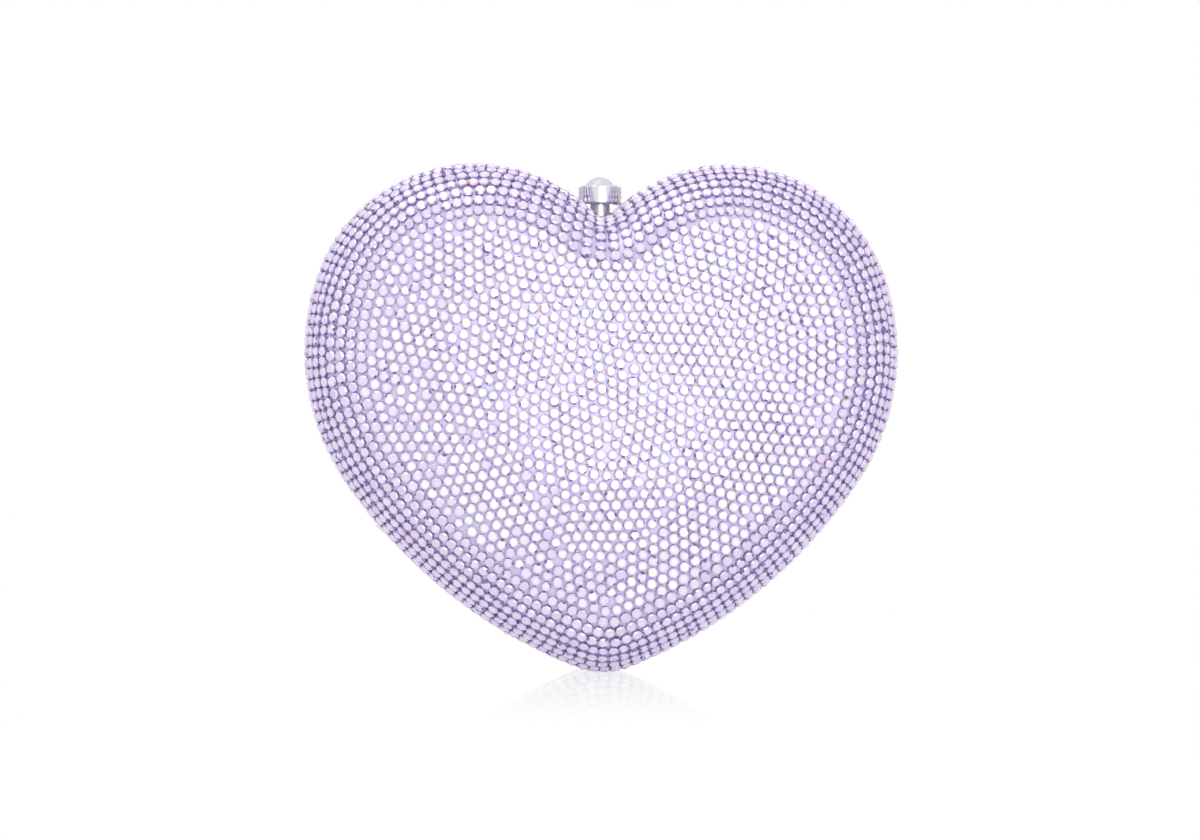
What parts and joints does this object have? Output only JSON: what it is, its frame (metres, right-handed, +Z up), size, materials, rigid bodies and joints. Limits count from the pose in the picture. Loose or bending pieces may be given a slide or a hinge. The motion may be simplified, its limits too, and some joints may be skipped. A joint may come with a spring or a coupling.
{
  "type": "heart shaped purse",
  "caption": "Hard heart shaped evening purse paved with lilac stones, opening like a book on a flank hinge, with a push button catch in the notch.",
  "frame": {"origin": "at the tip of the heart, level with the flat on its lowest stones, on the plane where the halves part", "axes": "+Z up through the notch, +X to the right seen from the front, the front faces -Y"},
  "size_m": [0.1514, 0.06, 0.1292],
  "materials": {
    "shell": "lilac enamel under the stones",
    "frame": "polished silver plate",
    "stones": "foil backed cut glass",
    "lining": "soft metallic leather",
    "spring_steel": "bright",
    "lock": "satin silver plate",
    "button_metal": "polished silver plate",
    "dome_glass": "clear, foil backed"
  },
  "bodies": {
    "back_half": {"back_shell": "shell", "back_rim": "frame", "back_stones": "stones", "back_lining": "lining", "hinge_leaf_back": "frame", "hinge_pin": "spring_steel", "lock_block": "lock", "guide_bush": "button_metal", "catch_spring": "spring_steel", "catch_rivets": "lock"},
    "front_half": {"front_shell": "shell", "front_rim": "frame", "front_stones": "stones", "front_lining": "lining", "hinge_leaf_front": "frame", "striker": "spring_steel", "striker_rivets": "lock"},
    "button": {"button_dome": "dome_glass", "button_cap": "button_metal", "button_stem": "button_metal", "button_ring": "spring_steel"}
  },
  "joints": [
    {"name": "lid_hinge", "type": "hinge", "parent": "back_half", "child": "front_half", "pos_m": [-0.0396, 0, 0.02434], "axis": [0.766, 0, -0.6428], "range_deg": [0, 70]},
    {"name": "button_press", "type": "slide", "parent": "back_half", "child": "button", "axis": [0, 0, -1], "range_m": [0, 0.0015], "stiffness_N_per_m": 1200, "springref_m": -0.0005, "deforming": ["catch_spring"]}
  ]
}
